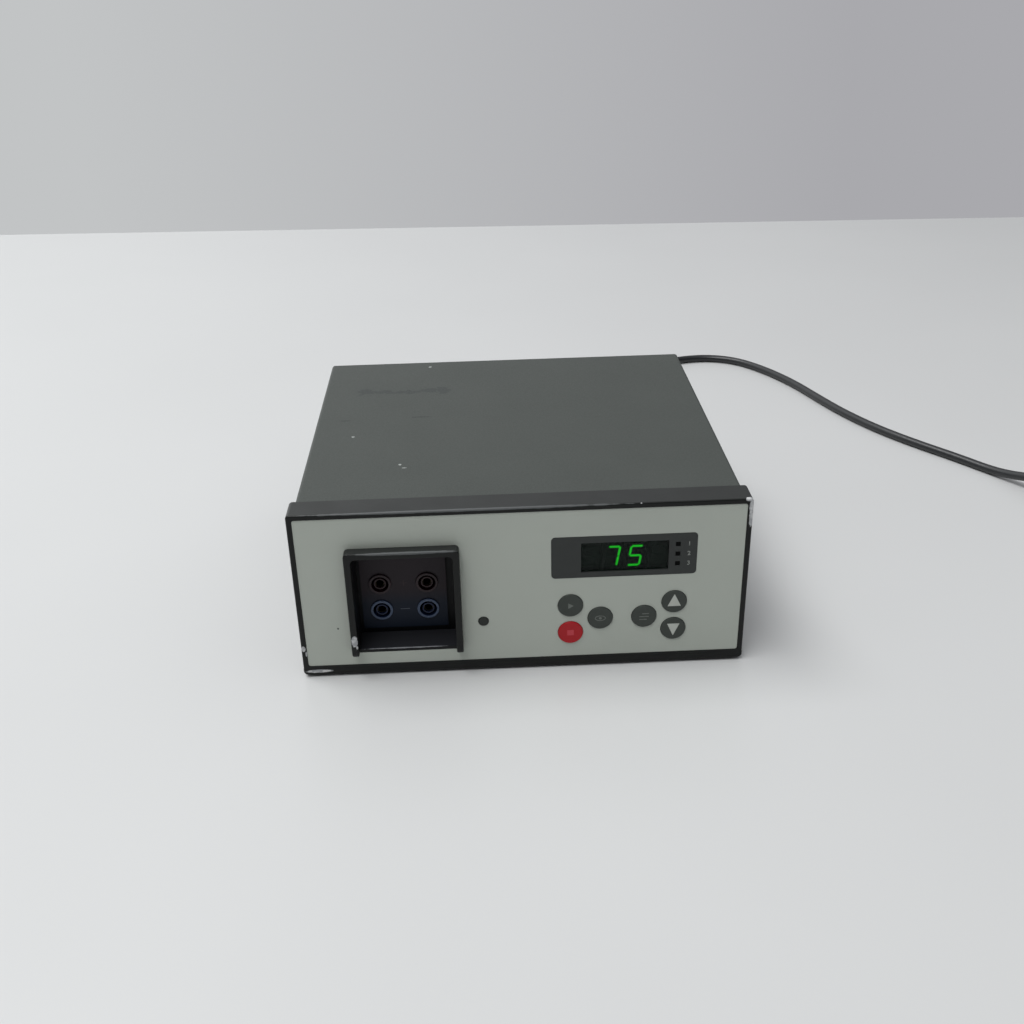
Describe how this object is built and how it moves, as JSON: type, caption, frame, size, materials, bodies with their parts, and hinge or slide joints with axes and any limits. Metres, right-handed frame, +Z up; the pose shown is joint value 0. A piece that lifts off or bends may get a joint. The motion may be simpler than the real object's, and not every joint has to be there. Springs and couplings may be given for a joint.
{
  "type": "electrophoresis power supply",
  "caption": "Low bench power supply in a dark folded case with a grey front, guarded recess of shrouded output sockets, green digit display, round keys and a mains lead behind.",
  "frame": {"origin": "middle of the footprint of the case with its guard and mains module, on the bench", "axes": "+X to the right seen from the front, +Y to the back, +Z up"},
  "size_m": [0.5051, 0.4542, 0.0945],
  "materials": {
    "frame_paint": "black semi-gloss paint",
    "cover_paint": "dark grey textured paint",
    "panel_paint": "greenish grey satin",
    "zinc_sheet": "zinc plated",
    "steel": "nickel plated",
    "brass_plated": "turned",
    "black_plastic": "fine matt",
    "module_plastic": "satin",
    "red_plastic": "gloss",
    "blue_plastic": "gloss",
    "key_grey": "satin",
    "key_red": "satin",
    "display_grey": "satin",
    "filter": "tinted",
    "digit_black": "satin",
    "lamp_dark": "gloss",
    "lamp_grey": "gloss",
    "foot_rubber": "matt",
    "board_green": "solder resist",
    "ferrite": "ground",
    "copper_wire": "enamelled",
    "aluminium": "extruded",
    "can_sleeve": "shrunk sleeve",
    "wire_sleeve": "satin",
    "ribbon_grey": "satin",
    "fuse_glass": "clear",
    "cord_rubber": "satin"
  },
  "bodies": {
    "case": {"front_bezel": "frame_paint", "top_cover": "cover_paint", "base_tray": "zinc_sheet", "rear_panel": "cover_paint", "feet": "foot_rubber", "foot_screws": "steel", "cover_screws": "steel", "rear_screws": "steel", "frame_screws": "steel", "front_panel": "panel_paint", "socket_guard": "frame_paint", "socket_box": "black_plastic", "red_socket_left": "red_plastic", "red_socket_right": "red_plastic", "blue_socket_left": "blue_plastic", "blue_socket_right": "blue_plastic", "socket_contacts": "brass_plated", "socket_nuts": "black_plastic", "display_frame": "display_grey", "display_window": "filter", "digit_1": "digit_black", "digit_2": "digit_black", "digit_3": "digit_black", "digit_4": "digit_black", "unit_lamps": "lamp_dark", "output_lamp": "lamp_grey", "key_switches": "black_plastic", "display_board": "board_green", "board_spacers": "steel", "main_board": "board_green", "heatsink": "aluminium", "power_transistors": "digit_black", "transformer_core": "ferrite", "transformer_winding": "copper_wire", "bulk_capacitors": "can_sleeve", "filter_choke": "copper_wire", "output_relay": "lamp_grey", "ribbon_cable": "ribbon_grey", "output_leads": "wire_sleeve", "mains_leads": "wire_sleeve", "power_inlet": "module_plastic", "inlet_blades": "brass_plated", "cord_connector": "cord_rubber", "mains_cord_near": "cord_rubber", "cord_coil": "cord_rubber", "mains_cord_far": "cord_rubber", "cord_tie": "black_plastic", "mains_plug": "cord_rubber", "plug_pins": "steel"},
    "run_key": {"run_key": "key_grey"},
    "stop_key": {"stop_key": "key_red"},
    "view_key": {"view_key": "key_grey"},
    "mode_key": {"mode_key": "key_grey"},
    "up_key": {"up_key": "key_grey"},
    "down_key": {"down_key": "key_grey"},
    "fuse_drawer": {"fuse_drawer": "module_plastic", "fuses": "fuse_glass"},
    "mains_rocker": {"mains_rocker": "module_plastic"}
  },
  "joints": [
    {"name": "run_press", "type": "slide", "parent": "case", "child": "run_key", "axis": [0, 1, 0], "range_m": [0, 0.0005], "stiffness_N_per_m": 600, "springref_m": -0.002},
    {"name": "stop_press", "type": "slide", "parent": "case", "child": "stop_key", "axis": [0, 1, 0], "range_m": [0, 0.0005], "stiffness_N_per_m": 600, "springref_m": -0.002},
    {"name": "view_press", "type": "slide", "parent": "case", "child": "view_key", "axis": [0, 1, 0], "range_m": [0, 0.0005], "stiffness_N_per_m": 600, "springref_m": -0.002},
    {"name": "mode_press", "type": "slide", "parent": "case", "child": "mode_key", "axis": [0, 1, 0], "range_m": [0, 0.0005], "stiffness_N_per_m": 600, "springref_m": -0.002},
    {"name": "up_press", "type": "slide", "parent": "case", "child": "up_key", "axis": [0, 1, 0], "range_m": [0, 0.0005], "stiffness_N_per_m": 600, "springref_m": -0.002},
    {"name": "down_press", "type": "slide", "parent": "case", "child": "down_key", "axis": [0, 1, 0], "range_m": [0, 0.0005], "stiffness_N_per_m": 600, "springref_m": -0.002},
    {"name": "fuse_drawer_slide", "type": "slide", "parent": "case", "child": "fuse_drawer", "axis": [0, 1, 0], "range_m": [0, 0.02]},
    {"name": "mains_switch", "type": "hinge", "parent": "case", "child": "mains_rocker", "pos_m": [0.05, 0.10368, 0.0606], "axis": [1, 0, 0], "range_deg": [-16, 0]}
  ]
}
